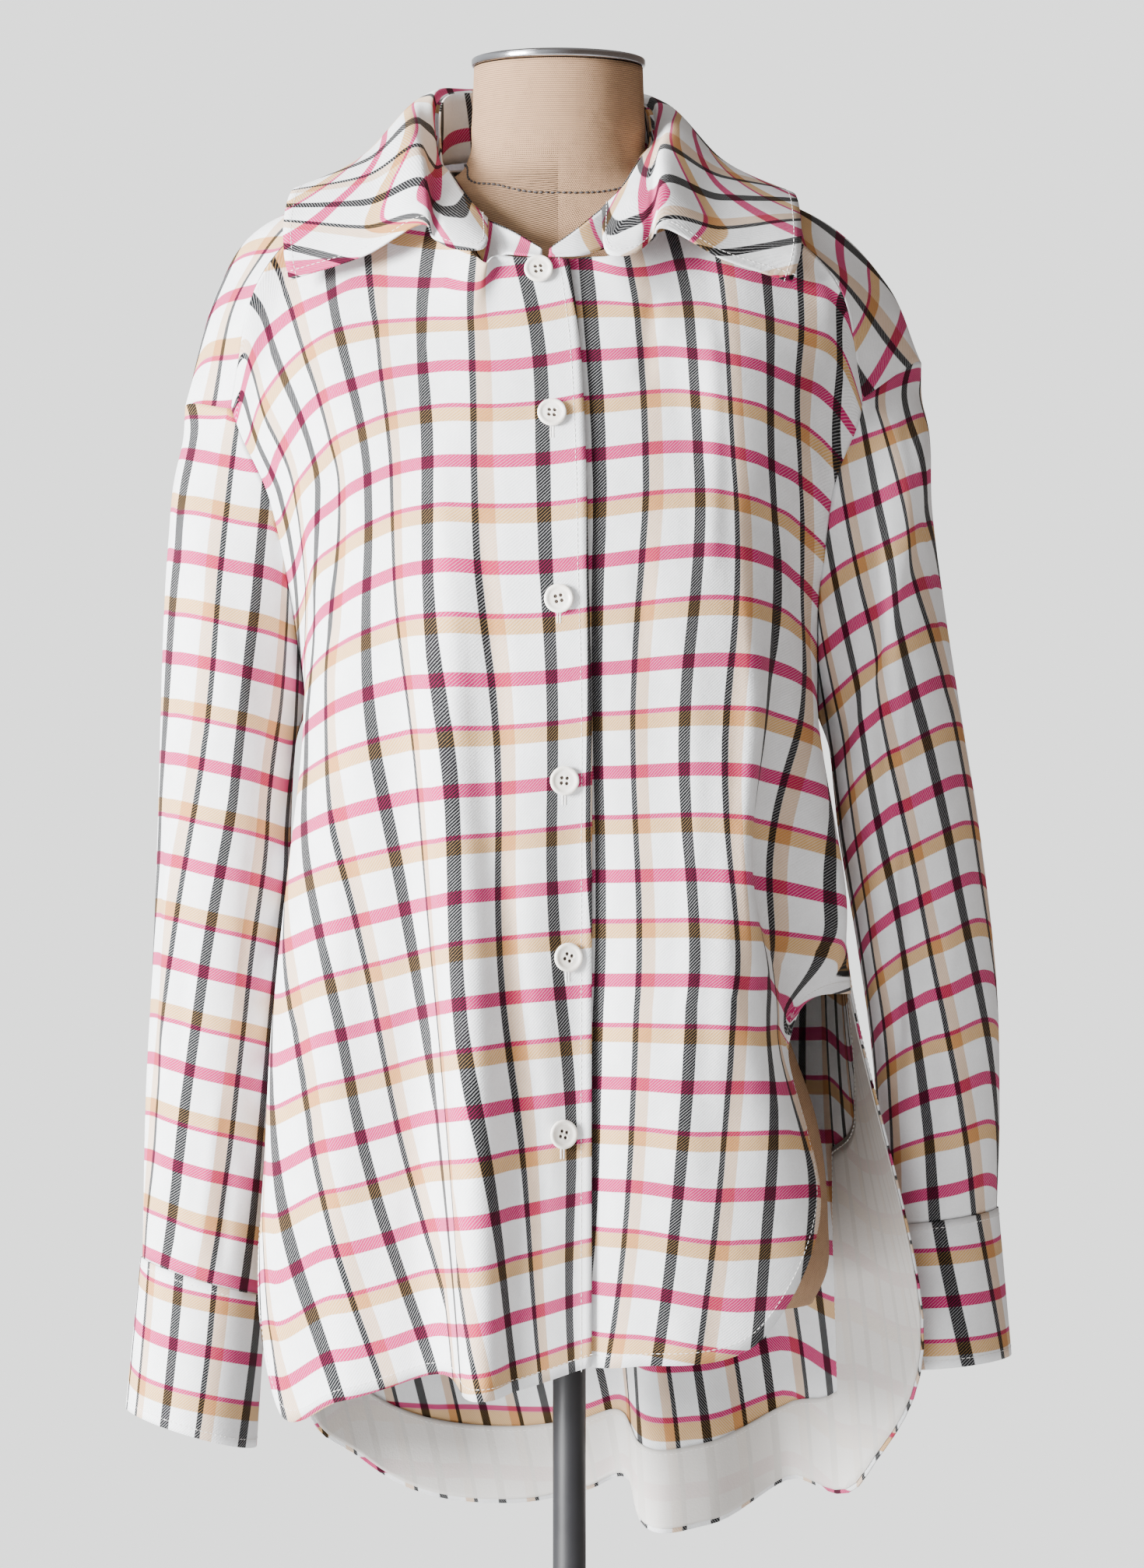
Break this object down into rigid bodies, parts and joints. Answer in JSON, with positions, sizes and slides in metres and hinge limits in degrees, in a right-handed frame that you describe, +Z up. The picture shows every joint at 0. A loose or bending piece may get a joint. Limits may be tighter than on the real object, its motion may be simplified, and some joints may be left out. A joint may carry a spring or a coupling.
{
  "type": "checked button-front tunic on a limbless dress form with a pole stand",
  "caption": "Loose checked tunic with a wide spread collar, buttoned front, long cuffed sleeves and a curved hem longer behind, worn on a limbless dress form on a pole stand.",
  "frame": {"origin": "middle of the base's underside, on the pole's axis", "axes": "+Z up, -Y towards the viewer (the tunic's front), +X to the viewer's right (the wearer's left)"},
  "size_m": [0.54, 0.33, 1.4977],
  "materials": {
    "checked_twill": "brushed cotton twill, cream with a charcoal, pink and tan windowpane check, matte",
    "white_facing": "plain white woven facing, matte",
    "linen": "tan linen cover, matte",
    "dark_metal": "dark polished metal",
    "black_lacquer": "black satin paint",
    "cream_shell": "cream, soft gloss"
  },
  "bodies": {
    "root": {"form_torso": "linen", "neck_cap": "dark_metal", "pole": "black_lacquer", "base": "black_lacquer", "front_right": "checked_twill", "front_left": "checked_twill", "back": "checked_twill", "back_facing": "white_facing", "sleeve_right": "checked_twill", "sleeve_left": "checked_twill", "cuff_right": "checked_twill", "cuff_left": "checked_twill", "collar_stand": "checked_twill", "collar_fall": "checked_twill", "button_1": "cream_shell", "button_2": "cream_shell", "button_3": "cream_shell", "button_4": "cream_shell", "button_5": "cream_shell", "button_6": "cream_shell"}
  },
  "joints": []
}
